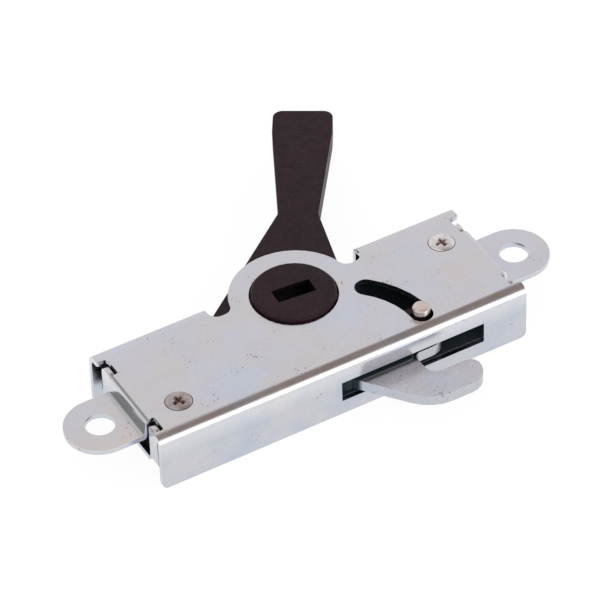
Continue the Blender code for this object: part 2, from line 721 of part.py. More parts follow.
def build_post(name, place, parent):
    """A tapped post between base plate and cover, riveted under the base plate."""
    top = UNDER_COVER - SEAT_GAP
    profile = [
        (0, BASE_BOTTOM - SEAT_GAP - RIVET_HEAD_HEIGHT),
        (RIVET_HEAD_RADIUS, BASE_BOTTOM - SEAT_GAP - RIVET_HEAD_HEIGHT),
        (RIVET_HEAD_RADIUS, BASE_BOTTOM - SEAT_GAP),
        (RIVET_TAIL_RADIUS, BASE_BOTTOM - SEAT_GAP),
        (RIVET_TAIL_RADIUS, BASE_TOP + SEAT_GAP),
        (POST_RADIUS, BASE_TOP + SEAT_GAP),
        (POST_RADIUS, top),
        (POST_BORE_RADIUS, top),
        (POST_BORE_RADIUS, top - POST_BORE_DEPTH),
        (0, top - POST_BORE_DEPTH),
    ]
    post = add(name, turned(profile), ZINC, parent)
    post.location = (*place, 0)


def build_screw(name, place, parent):
    """A countersunk screw with a slightly raised head and a cross recess."""
    top = CASE_HEIGHT + SCREW_HEAD_RISE
    cone_end = CASE_HEIGHT - SCREW_HEAD_CONE
    profile = [
        (0, top - SCREW_LENGTH),
        (SCREW_SHANK_RADIUS, top - SCREW_LENGTH),
        (SCREW_SHANK_RADIUS, cone_end),
        (SCREW_HEAD_RADIUS, CASE_HEIGHT),
        (SCREW_HEAD_RADIUS * 0.8, top - SCREW_HEAD_RISE * 0.3),
        (0, top),
    ]
    screw = add(name, turned(profile), NICKEL, parent)
    screw.location = (*place, 0)
    arm, half = RECESS_SPAN / 2, RECESS_WIDTH / 2
    quarter = [(arm, -half), (arm, half), (half, half)]
    cross = []
    for turn in range(4):
        cross += seen_from(quarter, (0, 0), -90 * turn)
    recess = prism([cross], top - RECESS_DEPTH, top + RECESS_DEPTH)
    combine(screw, name + "_recess", recess, "DIFFERENCE")
    tool = bpy.data.objects[name + "_recess"]
    tool.location = screw.location


def tab_spans():
    """The stretches of Y that the base plate's corner tabs take, inside the cover's reliefs."""
    front = (EAR_FRONT - FRONT_RELIEF_WIDTH, EAR_FRONT)
    back = (EAR_BACK, EAR_BACK + BACK_RELIEF_WIDTH)
    return [(low + BASE_TAB_CLEARANCE, high - BASE_TAB_CLEARANCE) for low, high in (front, back)]


BASE_BEND = right_angle_bend(BASE_HALF_LENGTH - BASE_BEND_RADIUS, BASE_BEND_RADIUS)


def base_place(x, y, side):
    """A point of the base plate's blank, with its corner tabs folded up."""
    lift = SHEET * (0.5 - side)
    on_tab = any(low - 1e-6 < y < high + 1e-6 for low, high in tab_spans())
    if abs(x) > BASE_BEND.start and on_tab:
        out, up, slope = BASE_BEND.at(abs(x))
        reach = out - lift * math.sin(slope)
        return (math.copysign(reach, x), y, BASE_TOP - SHEET / 2 + up + lift * math.cos(slope))
    return (x, y, BASE_TOP - SHEET / 2 + lift)


def base_end(side):
    """One end of the base plate's outline, from front to back on the side +1."""
    end, root = BASE_HALF_LENGTH, BASE_BEND.start - BASE_TAB_SIDE_RELIEF
    rise = CASE_HEIGHT - BASE_TAB_BELOW_TOP - BASE_TOP + SHEET - BASE_BEND_RADIUS
    tip = BASE_BEND.length_to_last() + rise
    relief, corner = BASE_TAB_SIDE_RELIEF, BASE_TAB_CORNER_RADIUS
    (front_low, front_high), (back_low, back_high) = tab_spans()
    low, high = SHEET + RUN_GAP, CASE_DEPTH - SHEET - RUN_GAP
    corners = [(root, low, 0.0)]
    corners += [(root, front_low, 0.0), (tip, front_low, corner), (tip, front_high, corner)]
    corners += [(root, front_high, 0.0), (root, front_high + relief, 0.0)]
    corners += [(end, front_high + relief, 0.0), (end, back_low - relief, 0.0)]
    corners += [(root, back_low - relief, 0.0), (root, back_low, 0.0)]
    corners += [(tip, back_low, corner), (tip, back_high, corner), (root, back_high, 0.0)]
    corners += [(root, high, 0.0)]
    return [(side * x, y, radius) for x, y, radius in corners][::side]


def base_lobe():
    """The lobe round the hub's journal, from right to left, in the opening of the back wall."""
    back = CASE_DEPTH - SHEET - RUN_GAP
    start = math.degrees(math.asin((back - HUB.y) / BASE_LOBE_RADIUS))
    first = polar(HUB, BASE_LOBE_RADIUS, start)
    last = polar(HUB, BASE_LOBE_RADIUS, 180 - start)
    round_lobe = sharp(arc(HUB, BASE_LOBE_RADIUS, start + ARC_STEP, 180 - start - ARC_STEP))
    corner = BASE_LOBE_CORNER_RADIUS
    return [(first.x, back, corner)] + round_lobe + [(last.x, back, corner)]


def build_base(parent):
    """The inner plate that carries pivot, posts, hub journal and spring, with four corner tabs."""
    holes = [circle(HUB, JOURNAL_RADIUS + RUN_GAP, 10)]
    rivets = (PIVOT, SCREW_LEFT, SCREW_RIGHT)
    holes += [circle(place, RIVET_TAIL_RADIUS + SPIGOT_GAP, 22.5) for place in rivets]
    holes += [circle(spring_anchor(), SPRING_HOLE_RADIUS, 30)]
    folds = []
    beyond = BASE_TAB_SIDE_RELIEF / 2
    for low, high in tab_spans():
        for run in BASE_BEND.folds():
            folds += [((side * run, low - beyond), (side * run, high + beyond)) for side in (-1, 1)]
    outline = rounded(base_end(1) + base_lobe() + base_end(-1))
    add("base_plate", skin([outline] + holes, folds, base_place), ZINC, parent)


def spring_lever_end():
    """Where the spring's leg drops into the lever, at rest."""
    return polar(HUB, SPRING_LEVER_RADIUS, SPRING_LEVER_ANGLE)


def spring_anchor():
    """The base plate hole on the line that the lever's end crosses in mid swing."""
    return polar(HUB, SPRING_ANCHOR_REACH, SPRING_LEVER_ANGLE + HOOK_SWING / 2)


def spring_path():
    """The wire's centre line: up out of the base plate, along a leg, round the coil and up to the lever."""
    start, finish = spring_anchor(), spring_lever_end()
    low = BASE_TOP + RUN_GAP + SPRING_WIRE / 2
    high = low + SPRING_TURNS * SPRING_PITCH
    span = finish - start
    middle = (start + finish) / 2
    sideways = Vector((-span.y, span.x)).normalized()
    centre = middle + sideways * math.sqrt(SPRING_LEG**2 - (span.length / 2) ** 2)
    lean = math.degrees(math.asin(SPRING_COIL_RADIUS / SPRING_LEG))
    to_start, to_finish = start - centre, finish - centre
    first = math.degrees(math.atan2(to_start.y, to_start.x)) - 90 + lean
    last = math.degrees(math.atan2(to_finish.y, to_finish.x)) + 90 - lean
    sweep = (last - first) % 360 - 360 * SPRING_TURNS
    steps = math.ceil(abs(sweep) / 20)
    points = [Vector((*start, BASE_BOTTOM + SPRING_WIRE)), Vector((*start, low))]
    for i in range(steps + 1):
        place = polar(centre, SPRING_COIL_RADIUS, first + sweep * i / steps)
        points.append(Vector((*place, low + (high - low) * i / steps)))
    points += [Vector((*finish, high)), Vector((*finish, LEVER_BOTTOM + SPRING_HOOK_DEPTH))]
    return points


def eased(path, reach):
    """A path whose sharp corners are rounded off."""
    points = [path[0]]
    for before, here, after in zip(path, path[1:], path[2:]):
        back, ahead = before - here, after - here
        if back.angle(ahead) > math.radians(130):
            points.append(here)
            continue
        first, last = here + back.normalized() * reach, here + ahead.normalized() * reach
        for i in range(BEND_STEPS + 1):
            t = i / BEND_STEPS
            points.append(first * (1 - t) ** 2 + here * (2 * t * (1 - t)) + last * t**2)
    return points + [path[-1]]


def wire(path, radius, sides):
    """Round wire along a path, closed at both ends."""
    form = bmesh.new()
    rings = []
    across = Vector((1, 0, 0))
    for i, place in enumerate(path):
        along = (path[min(i + 1, len(path) - 1)] - path[max(i - 1, 0)]).normalized()
        across = (across - along * across.dot(along)).normalized()
        up = along.cross(across)
        turns = [math.tau * k / sides for k in range(sides)]
        spokes = [across * math.cos(turn) + up * math.sin(turn) for turn in turns]
        rings.append([form.verts.new(place + spoke * radius) for spoke in spokes])
    for one, two in zip(rings, rings[1:]):
        for k in range(sides):
            form.faces.new([one[k], one[(k + 1) % sides], two[(k + 1) % sides], two[k]])
    form.faces.new(rings[0][::-1])
    form.faces.new(rings[-1])
    bmesh.ops.recalc_face_normals(form, faces=form.faces)
    return form


def build_spring(parent):
    """A hairpin spring bent from round wire."""
    path = eased(spring_path(), SPRING_WIRE)
    add("over_centre_spring", wire(path, SPRING_WIRE / 2, WIRE_SIDES), SPRING_STEEL, parent)


def seat_on_ground(frame):
    """Moves the whole lock so that the middle of its box, at the bottom, is at the origin."""
    bpy.context.view_layer.update()
    graph = bpy.context.evaluated_depsgraph_get()
    low, high = Vector((1, 1, 1)), Vector((-1, -1, -1))
    for piece in bpy.context.scene.objects:
        if piece.type == "EMPTY" or piece.hide_render:
            continue
        seen = piece.evaluated_get(graph)
        mesh = seen.to_mesh()
        for vertex in mesh.vertices:
            place = piece.matrix_world @ vertex.co
            low = Vector(map(min, low, place))
            high = Vector(map(max, high, place))
        seen.to_mesh_clear()
    frame.location = (-(low.x + high.x) / 2, -(low.y + high.y) / 2, -low.z)


def main():
    for piece in list(bpy.data.objects):
        bpy.data.objects.remove(piece, do_unlink=True)
    frame = axis_empty("lock_frame", (0, 0), 0, None)
    lever_axis = axis_empty("lever_axis", HUB, LEVER_ANGLE, frame)
    hook_axis = axis_empty("hook_axis", PIVOT, 0, frame)
    build_cover(frame)
    build_base(frame)
    build_post("spacer_post_left", SCREW_LEFT, frame)
    build_post("spacer_post_right", SCREW_RIGHT, frame)
    build_screw("cover_screw_left", SCREW_LEFT, frame)
    build_screw("cover_screw_right", SCREW_RIGHT, frame)
    build_pivot(frame)
    build_spring(frame)
    build_lever(lever_axis)
    build_hook(hook_axis)
    build_drive_pin(hook_axis)
    seat_on_ground(frame)


main()
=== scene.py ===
import json
import math
from collections import namedtuple

import bmesh
import bpy
from mathutils import Matrix, Vector


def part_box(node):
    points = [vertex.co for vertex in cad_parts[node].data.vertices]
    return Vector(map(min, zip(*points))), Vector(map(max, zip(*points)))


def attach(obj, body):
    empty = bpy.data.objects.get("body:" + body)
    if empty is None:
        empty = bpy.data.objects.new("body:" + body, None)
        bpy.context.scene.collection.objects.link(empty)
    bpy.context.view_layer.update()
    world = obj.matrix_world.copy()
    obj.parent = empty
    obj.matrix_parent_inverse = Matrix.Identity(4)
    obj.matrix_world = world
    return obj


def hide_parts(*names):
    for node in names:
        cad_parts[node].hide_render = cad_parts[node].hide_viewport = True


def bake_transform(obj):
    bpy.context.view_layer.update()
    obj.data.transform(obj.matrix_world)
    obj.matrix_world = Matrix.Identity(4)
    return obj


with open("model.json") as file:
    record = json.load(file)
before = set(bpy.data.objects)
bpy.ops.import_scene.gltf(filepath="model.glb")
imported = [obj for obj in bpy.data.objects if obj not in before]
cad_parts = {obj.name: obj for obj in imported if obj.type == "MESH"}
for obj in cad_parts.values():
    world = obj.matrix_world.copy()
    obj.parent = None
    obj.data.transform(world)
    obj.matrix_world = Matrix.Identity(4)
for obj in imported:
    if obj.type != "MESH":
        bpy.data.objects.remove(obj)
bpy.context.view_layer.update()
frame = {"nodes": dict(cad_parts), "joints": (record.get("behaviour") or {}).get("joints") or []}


def linear(red, green, blue):
    """A colour written as it shows on screen, 0 to 255, as the renderer's linear value."""
    def channel(value):
        value /= 255
        return value / 12.92 if value <= 0.04045 else ((value + 0.055) / 1.055) ** 2.4

    return (channel(red), channel(green), channel(blue), 1.0)


# Camera, as fitted to the photograph: degrees, lens in millimetres, the rest in metres.
# It turns round a point on the cover.
CAMERA_AZIMUTH = -29.39
CAMERA_ELEVATION = 42.19
CAMERA_ROLL = -1.725
CAMERA_DISTANCE = 0.8405
CAMERA_LENS = 237.6
CAMERA_SENSOR = 36.0
CAMERA_SHIFT = (-0.0504, 0.0092)
CAMERA_NEAREST = 0.01
CAMERA_FARTHEST = 20.0
AIM_RIGHT_OF_MIDDLE = 0.00613
AIM_BEHIND_FRONT_WALL = 0.01729

# Floor. The share that glows shows as plain white, and the rest is paper that takes a shadow.
WHITE = (1.0, 1.0, 1.0, 1.0)
FLOOR_SIZE = 6.0
FLOOR_COLOUR = (0.9, 0.9, 0.9, 1.0)
FLOOR_GLOW = 0.88
FLOOR_BRIGHTNESS = 1.05

# The one lamp, a panel in front and to the right
PANEL_DIRECTION = (0.36, -0.86, 0.255)
PANEL_DISTANCE = 0.95
PANEL_SIZE = (0.52, 0.5)
PANEL_POWER = 1.7

# Studio round the object: the walls' colours, by the height of the direction looked in
WALL_COLOURS = [
    (0.0, (0.86, 0.86, 0.88, 1)),
    (0.30, (1.0, 1.0, 1.01, 1)),
    (0.74, (1.0, 0.99, 1.0, 1)),
    (1.0, (0.84, 0.83, 0.84, 1)),
]
# The dim flag overhead: where each edge fades, measured across and along one unit up
FLAG_COLOUR = (0.33, 0.265, 0.235, 1)
FLAG_LEFT_EDGE = (0.10, 0.26)
FLAG_RIGHT_EDGE = (0.66, 0.84)
FLAG_FRONT_EDGE = (-0.9, -0.74)
FLAG_BACK_EDGE = (0.24, 0.84)
FLAG_LOWEST = 0.01
# The dim corner at the back left: its middle, and where it fades, as cosines of the angle to it
CORNER_COLOUR = (0.16, 0.18, 0.17, 1)
CORNER_DIRECTION = (-0.57, 0.65, 0.51)
CORNER_EDGE = (0.94, 0.985)
CORNER_SHARE = 0.75

# Rounded edges and smooth shading: metres, and degrees between faces
SHEET_EDGE = 0.0002
CAST_EDGE = 0.0002
TURNED_EDGE = 0.0001
RECESS_EDGE = 0.00006
EDGE_SEGMENTS = 2
FACE_AREA_WEIGHT = 100
SMOOTH_ANGLE = 30.0
WELD_DISTANCE = 0.000002

# Noise in every material: the middle range of its height
NOISE_LOW = 0.3
NOISE_HIGH = 0.7

# Specks: the heights of a slow noise between which they grow, and how soft their rims are
SPECK_PATCH = (0.5, 0.75)
SPECK_RIM = 0.05

# Zinc plate: colours of its slow clouds on level faces, and a painted bluish tint that upright
# faces take by their facing
ZINC_COLOURS = [
    (0.32, linear(207, 199, 196)),
    (0.43, linear(204, 201, 203)),
    (0.55, linear(203, 202, 209)),
    (0.68, linear(197, 203, 215)),
]
UPRIGHT_TINT_COLOURS = [
    (0.34, linear(210, 211, 215)),
    (0.50, linear(201, 205, 214)),
    (0.66, linear(188, 198, 216)),
]
# Painted highlight colour that upright faces take toward the top of the case
PAINTED_HIGHLIGHT_COLOUR = linear(236, 238, 241)
PIT_COLOUR = linear(112, 101, 97)
ZINC_SCUFF_COLOUR = linear(150, 143, 142)
FLECK_COLOUR = linear(128, 122, 120)
# Painted shade inside the case and on the hook behind the case's front wall
PAINTED_SHADE_COLOUR = linear(28, 46, 50)
PLATE_GLOSS = 0.5
PIT_BUMP = -2.0
SCUFF_ROUGHNESS = 0.12

# The heights between which a painted highlight makes upright faces paler, in metres, and how far it
# does
HIGHLIGHT_FROM = 0.0075
HIGHLIGHT_TO = 0.0122
HIGHLIGHT_SHARE = 0.7

# Where painted shade covers the plate inside the case, in metres
CASE_DEPTH = 0.0314
SHADE_INSET = 0.0011
SHADE_REACH = 0.0425

# Where painted shade covers the hook, from the case's front wall: its edge lies farther in past a
# point along the hook
HOOK_SHADE_FROM = -0.0007
HOOK_SHADE_TO = 0.0001
HOOK_SHADE_STEP_FROM = 0.0158
HOOK_SHADE_STEP_TO = 0.0168
HOOK_SHADE_STEP_DEPTH = 0.0018

# Black casting, and the painted shade down in its keyway, in metres
CASTING_COLOURS = [
    (0.35, (0.0100, 0.0022, 0.0052, 1)),
    (0.70, (0.0155, 0.0045, 0.0084, 1)),
]
MOTTLE_COLOUR = (0.0330, 0.0170, 0.0230, 1)
DUST_COLOUR = linear(105, 96, 100)
CASTING_SCUFF_COLOUR = linear(92, 82, 86)
CASTING_FINISH = {
    "Specular IOR Level": 0.2,
    "Specular Tint": (1.0, 0.86, 0.92, 1.0),
    "Sheen Weight": 0.3,
    "Sheen Roughness": 0.16,
    "Sheen Tint": (1.0, 0.62, 0.8, 1.0),
}
# Painted shade down in the keyway
KEYWAY_SHADE_COLOUR = (0.0012, 0.0009, 0.0009, 1)
KEYWAY_SHADE_RADIUS = 0.0053
KEYWAY_SHADE_DEPTH = 0.0003
KEYWAY_SHADE_EDGE = 0.0001

# Dark and light of the plain metals
NICKEL_COLOURS = (linear(190, 176, 171), linear(214, 201, 195))
STEEL_COLOURS = (linear(120, 120, 126), linear(150, 150, 156))

# Cover screws, in metres. The shares are of the head's radius, and the crown's drop is a share
# of the dome's height.
HEAD_EDGE = 0.00004
HEAD_DEPTH = 0.0016
HEAD_DOME = 0.0003
CROWN_DROP = 0.1
DOME_POWER = 2.5
DOME_SHARES = (0.3, 0.55, 0.75, 0.9, 1.0)
NECK_SHARE = 0.45
SHANK_SHARE = 0.42
FOOT_SHARE = 0.3
FOOT_HEIGHT = 0.0005
HEAD_STEPS = 64
SEAM_DISTANCE = 0.000001
RECESS_SPAN = 0.0034
RECESS_WIDTH = 0.00105
RECESS_FLOOR_SPAN = 0.0014
RECESS_FLOOR_WIDTH = 0.0006
RECESS_DEPTH = 0.0011
RECESS_BROWN_COLOUR = linear(146, 120, 108)
RECESS_BROWN_DEPTH = 0.0004
RECESS_BROWN_EDGE = 0.0002
LEFT_RECESS_TURN = 24.0
RIGHT_RECESS_TURN = 8.0

# Two colours of nickel for each cover screw; the left one is the darker
LEFT_SCREW_COLOURS = (linear(150, 140, 138), linear(178, 168, 166))
RIGHT_SCREW_COLOURS = (linear(200, 192, 190), linear(226, 220, 219))

# How deep the zinc's grain is in its bumps, and how much it darkens the plate
Grain = namedtuple("Grain", "depth dark")
# The most that painted shade covers of the plate, and how metallic and how glossy it leaves it
ShadeLayer = namedtuple("ShadeLayer", "share metallic gloss")


class Nodes:
    """Shorthand for building a node tree."""

    def __init__(self, tree):
        self.tree = tree

    def add(self, kind, **settings):
        node = self.tree.nodes.new(kind)
        for name, value in settings.items():
            setattr(node, name, value)
        return node

    def link(self, source, target):
        self.tree.links.new(source, target)

    def feed(self, value, socket):
        """A socket from another socket, or from a plain value."""
        if isinstance(value, bpy.types.NodeSocket):
            self.link(value, socket)
        else:
            socket.default_value = value

    def math(self, operation, first, second=0.0, clamp=False):
        node = self.add("ShaderNodeMath", operation=operation, use_clamp=clamp)
        self.feed(first, node.inputs[0])
        self.feed(second, node.inputs[1])
        return node.outputs[0]

    def parts(self, vector):
        """A vector's X, Y and Z, by name."""
        node = self.add("ShaderNodeSeparateXYZ")
        self.link(vector, node.inputs["Vector"])
        return node.outputs

    def noise(self, where, scale, detail=3.0, roughness=0.55):
        node = self.add("ShaderNodeTexNoise")
        node.inputs["Scale"].default_value = scale
        node.inputs["Detail"].default_value = detail
        node.inputs["Roughness"].default_value = roughness
        self.link(where, node.inputs["Vector"])
        return node.outputs["Fac"]

    def spread(self, value, low, high, out_low=0.0, out_high=1.0):
        """The value mapped from low..high to out_low..out_high, held at both ends."""
        node = self.add("ShaderNodeMapRange", clamp=True)
        self.link(value, node.inputs["Value"])
        node.inputs["From Min"].default_value = low
        node.inputs["From Max"].default_value = high
        node.inputs["To Min"].default_value = out_low
        node.inputs["To Max"].default_value = out_high
        return node.outputs["Result"]

    def uneven(self, where, scale, low, high):
        """A value that wanders between low and high."""
        return self.spread(self.noise(where, scale), NOISE_LOW, NOISE_HIGH, low, high)

    def stretched(self, where, scale, angle):
        """The place, turned about Z and scaled by different amounts along each axis."""
        node = self.add("ShaderNodeMapping")
        node.inputs["Rotation"].default_value = (0, 0, math.radians(angle))
        node.inputs["Scale"].default_value = scale
        self.link(where, node.inputs["Vector"])
        return node.outputs["Vector"]

    def specks(self, where, scale, size, patchiness):
        """Round specks, 1 inside and 0 outside, only where a slow noise is high."""
        cells = self.add("ShaderNodeTexVoronoi", feature="F1")
        cells.inputs["Scale"].default_value = scale
        self.link(where, cells.inputs["Vector"])
        patch = self.noise(where, scale * patchiness, detail=1.0)
        reach = self.spread(patch, *SPECK_PATCH, out_high=size)
        inside = self.math("SUBTRACT", reach, cells.outputs["Distance"])
        return self.spread(inside, 0.0, SPECK_RIM)

    def scuffs(self, where, stretch, angle, line, patch_scale, patch):
        """Fine scratches side by side, 1 on a scratch and 0 off it, only in some patches.

        Each of line and patch is the two heights of its noise where the scratches fade in.
        """
        lines = self.noise(self.stretched(where, stretch, angle), 1.0, detail=2.0)
        patches = self.noise(where, patch_scale, detail=2.0)
        return self.math("MULTIPLY", self.spread(lines, *line), self.spread(patches, *patch))

    def ramp(self, value, stops):
        """A colour ramp from (place, colour) stops."""
        node = self.add("ShaderNodeValToRGB")
        elements = node.color_ramp.elements
        while len(elements) < len(stops):
            elements.new(0.5)
        for element, (place, colour) in zip(elements, stops):
            element.position = place
            element.color = colour
        self.link(value, node.inputs["Fac"])
        return node.outputs["Color"]

    def mix(self, share, first, second):
        """Two colours, mixed by a share from 0 to 1."""
        node = self.add("ShaderNodeMix", data_type="RGBA")
        self.feed(share, node.inputs["Factor"])
        self.feed(first, node.inputs["A"])
        self.feed(second, node.inputs["B"])
        return node.outputs["Result"]

    def overlay(self, below, above, mask, share):
        """A colour with another laid over it where the mask is 1, as strongly as the share."""
        return self.mix(self.math("MULTIPLY", mask, share), below, above)

    def bump(self, height, strength, distance, over=None):
        """A bumped normal, on top of another one if that is given."""
        node = self.add("ShaderNodeBump")
        node.inputs["Strength"].default_value = strength
        node.inputs["Distance"].default_value = distance
        self.link(height, node.inputs["Height"])
        if over is not None:
            self.link(over, node.inputs["Normal"])
        return node.outputs["Normal"]


def new_material(name):
    """A material, its node helper, its Principled shader and the object's own coordinates."""
    material = bpy.data.materials.new(name)
    material.use_nodes = True
    nodes = Nodes(material.node_tree)
    place = nodes.add("ShaderNodeTexCoord").outputs["Object"]
    return material, nodes, material.node_tree.nodes["Principled BSDF"], place


def in_box(nodes, place, low, high):
    """1 inside the box from low to high, 0 outside."""
    parts = nodes.parts(place)
    inside = 1.0
    for axis, least, most in zip("XYZ", low, high):
        above = nodes.math("GREATER_THAN", parts[axis], least)
        below = nodes.math("LESS_THAN", parts[axis], most)
        inside = nodes.math("MULTIPLY", nodes.math("MULTIPLY", above, below), inside)
    return inside


def in_cylinder(nodes, place, centre, radius, soft, top):
    """1 near an upright axis and below this height, fading over a soft width, 0 elsewhere."""
    parts = nodes.parts(place)
    across = nodes.math("SUBTRACT", parts["X"], centre.x)
    along = nodes.math("SUBTRACT", parts["Y"], centre.y)
    squares = nodes.math("ADD", nodes.math("MULTIPLY", across, across),
                         nodes.math("MULTIPLY", along, along))
    near = nodes.spread(nodes.math("SQRT", squares), radius - soft, radius, 1.0, 0.0)
    return nodes.math("MULTIPLY", near, nodes.math("LESS_THAN", parts["Z"], top))


def upright_painted_tint(nodes, place):
    """A painted bluish tint for upright faces, with a painted highlight that makes them paler at
    the top, and how upright a face is, 0 to 1.
    """
    clouds = nodes.noise(place, scale=95.0, detail=4.0, roughness=0.65)
    height = nodes.parts(place)["Z"]
    # Painted highlight: upright faces turn paler toward the top
    painted_highlight = nodes.spread(height, HIGHLIGHT_FROM, HIGHLIGHT_TO, out_high=HIGHLIGHT_SHARE)
    colour = nodes.mix(painted_highlight, nodes.ramp(clouds, UPRIGHT_TINT_COLOURS), PAINTED_HIGHLIGHT_COLOUR)
    normal = nodes.parts(nodes.add("ShaderNodeNewGeometry").outputs["True Normal"])
    level = nodes.math("ABSOLUTE", normal["Z"])
    return colour, nodes.math("SUBTRACT", 1.0, level, clamp=True)


def zinc_material(name, smooth, rough, grain, painted_shade, shade_layer):
    """Bright zinc plate: satin grey with faint warm and blue clouds, fine grain, scuffs and pits.

    The painted_shade argument is a function that gives the share, 0 to 1, of painted shade over the
    plate.
    """
    material, nodes, shader, place = new_material(name)
    clouds = nodes.noise(place, scale=60.0, detail=5.0, roughness=0.62)
    colour = nodes.ramp(clouds, ZINC_COLOURS)
    # Painted tint: upright faces take their own bluish colour, with a painted highlight toward the
    # top
    colour = nodes.overlay(colour, *upright_painted_tint(nodes, place), share=0.8)
    pits = nodes.specks(place, scale=1100.0, size=0.34, patchiness=0.14)
    colour = nodes.overlay(colour, PIT_COLOUR, pits, share=0.55)
    scuffs = nodes.scuffs(place, stretch=(90.0, 2600.0, 900.0), angle=31.0, line=(0.66, 0.78),
                          patch_scale=60.0, patch=(0.5, 0.65))
    colour = nodes.overlay(colour, ZINC_SCUFF_COLOUR, scuffs, share=0.12)
    flecks = nodes.noise(place, scale=3400.0, detail=2.0, roughness=0.7)
    dark = nodes.spread(flecks, 0.30, 0.70, out_low=grain.dark, out_high=0.0)
    colour = nodes.mix(dark, colour, FLECK_COLOUR)

    # Painted shade: darker, less metallic and with its own gloss where the mask is
    cover = nodes.math("MULTIPLY", painted_shade(nodes, place), shade_layer.share)
    nodes.link(nodes.mix(cover, colour, PAINTED_SHADE_COLOUR), shader.inputs["Base Color"])
    nodes.link(nodes.spread(cover, 0.0, 1.0, 1.0, shade_layer.metallic), shader.inputs["Metallic"])
    # A gloss that is the same all over stays on the shader's own socket
    if shade_layer.gloss != PLATE_GLOSS:
        gloss = nodes.spread(cover, 0.0, 1.0, PLATE_GLOSS, shade_layer.gloss)
        nodes.link(gloss, shader.inputs["Specular IOR Level"])
    roughness = nodes.uneven(place, scale=160.0, low=smooth, high=rough)
    scuffed = nodes.math("ADD", roughness, nodes.math("MULTIPLY", scuffs, SCUFF_ROUGHNESS))
    nodes.link(scuffed, shader.inputs["Roughness"])

    swells = nodes.noise(place, scale=130.0, detail=2.0)
    waves = nodes.bump(swells, strength=0.35, distance=0.00012)
    grains = nodes.noise(place, scale=2400.0, detail=2.0)
    pitted = nodes.math("ADD", grains, nodes.math("MULTIPLY", pits, PIT_BUMP))
    fine = nodes.bump(pitted, strength=grain.depth, distance=0.00003, over=waves)
    nodes.link(fine, shader.inputs["Normal"])
    return material


def black_material(hub, hub_top):
    """Semi-matte brown-black casting with a fine pebble, faint scuffs, dust, and painted shade down
    in the keyway.
    """
    material, nodes, shader, place = new_material("black_casting")
    colour = nodes.ramp(nodes.noise(place, scale=120.0, detail=4.0), CASTING_COLOURS)
    mottle = nodes.noise(place, scale=1300.0, detail=4.0, roughness=0.72)
    colour = nodes.mix(nodes.spread(mottle, 0.42, 0.66, out_high=0.5), colour, MOTTLE_COLOUR)
    dust = nodes.specks(place, scale=700.0, size=0.26, patchiness=0.25)
    colour = nodes.overlay(colour, DUST_COLOUR, dust, share=0.35)
    scuffs = nodes.scuffs(place, stretch=(2200.0, 120.0, 900.0), angle=-28.0, line=(0.66, 0.76),
                          patch_scale=85.0, patch=(0.52, 0.66))
    colour = nodes.overlay(colour, CASTING_SCUFF_COLOUR, scuffs, share=0.25)
    # Painted shade down in the keyway
    recess_darkening = in_cylinder(nodes, place, hub, KEYWAY_SHADE_RADIUS, KEYWAY_SHADE_EDGE,
                        hub_top - KEYWAY_SHADE_DEPTH)
    colour = nodes.mix(recess_darkening, colour, KEYWAY_SHADE_COLOUR)
    nodes.link(colour, shader.inputs["Base Color"])
    roughness = nodes.uneven(place, scale=420.0, low=0.42, high=0.58)
    nodes.link(roughness, shader.inputs["Roughness"])
    for socket, value in CASTING_FINISH.items():
        shader.inputs[socket].default_value = value
    pebble = nodes.noise(place, scale=3000.0, detail=2.0)
    nodes.link(nodes.bump(pebble, strength=0.16, distance=0.00004), shader.inputs["Normal"])
    return material


def metal_material(name, dark, light, smooth, rough):
    """Turned or drawn metal between two colours and two roughnesses."""
    material, nodes, shader, place = new_material(name)
    colour = nodes.ramp(nodes.noise(place, scale=420.0), [(0.3, dark), (0.7, light)])
    nodes.link(colour, shader.inputs["Base Color"])
    shader.inputs["Metallic"].default_value = 1.0
    roughness = nodes.uneven(place, scale=900.0, low=smooth, high=rough)
    nodes.link(roughness, shader.inputs["Roughness"])
    marks = nodes.noise(place, scale=1500.0, detail=2.0)
    nodes.link(nodes.bump(marks, strength=0.05, distance=0.00003), shader.inputs["Normal"])
    return material


def screw_material(name, dark, light, top):
    """Worn nickel plate, darker brown down in the recess."""
    material, nodes, shader, place = new_material(name)
    colour = nodes.ramp(nodes.noise(place, scale=700.0, detail=4.0), [(0.35, dark), (0.65, light)])
    recess_darkening = in_cylinder(nodes, place, Vector((0, 0)), RECESS_SPAN / 2, RECESS_BROWN_EDGE,
                        top - RECESS_BROWN_DEPTH)
    patches = nodes.spread(nodes.noise(place, scale=1500.0), 0.35, 0.65, out_low=0.35)
    colour = nodes.overlay(colour, RECESS_BROWN_COLOUR, recess_darkening, share=patches)
    nodes.link(colour, shader.inputs["Base Color"])
    shader.inputs["Metallic"].default_value = 1.0
    roughness = nodes.uneven(place, scale=900.0, low=0.18, high=0.34)
    nodes.link(roughness, shader.inputs["Roughness"])
    marks = nodes.noise(place, scale=1200.0)
    nodes.link(nodes.bump(marks, strength=0.12, distance=0.00006), shader.inputs["Normal"])
    return material


def case_painted_shade(nodes, place):
    """Painted shade inside the case's walls, from just above the base plate's underside to the
    cover.
    """
    cover_low, cover_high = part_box("case_cover")
    front, back = cover_low.y + SHADE_INSET, cover_low.y + CASE_DEPTH - SHADE_INSET
    low = (-SHADE_REACH, front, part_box("base_plate")[0].z + SHADE_INSET)
    high = (SHADE_REACH, back, cover_high.z - SHADE_INSET)
    return in_box(nodes, place, low, high)


def hook_painted_shade(nodes, place):
    """Painted shade over the part of the hook that stays behind the case's front wall."""
    parts = nodes.parts(place)
    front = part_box("case_cover")[0].y
    # The painted shade's edge moves farther in past a point along the hook
    shade_step = nodes.spread(parts["X"], HOOK_SHADE_STEP_FROM, HOOK_SHADE_STEP_TO, out_high=HOOK_SHADE_STEP_DEPTH)
    along = nodes.math("SUBTRACT", parts["Y"], shade_step)
    return nodes.spread(along, front + HOOK_SHADE_FROM, front + HOOK_SHADE_TO)


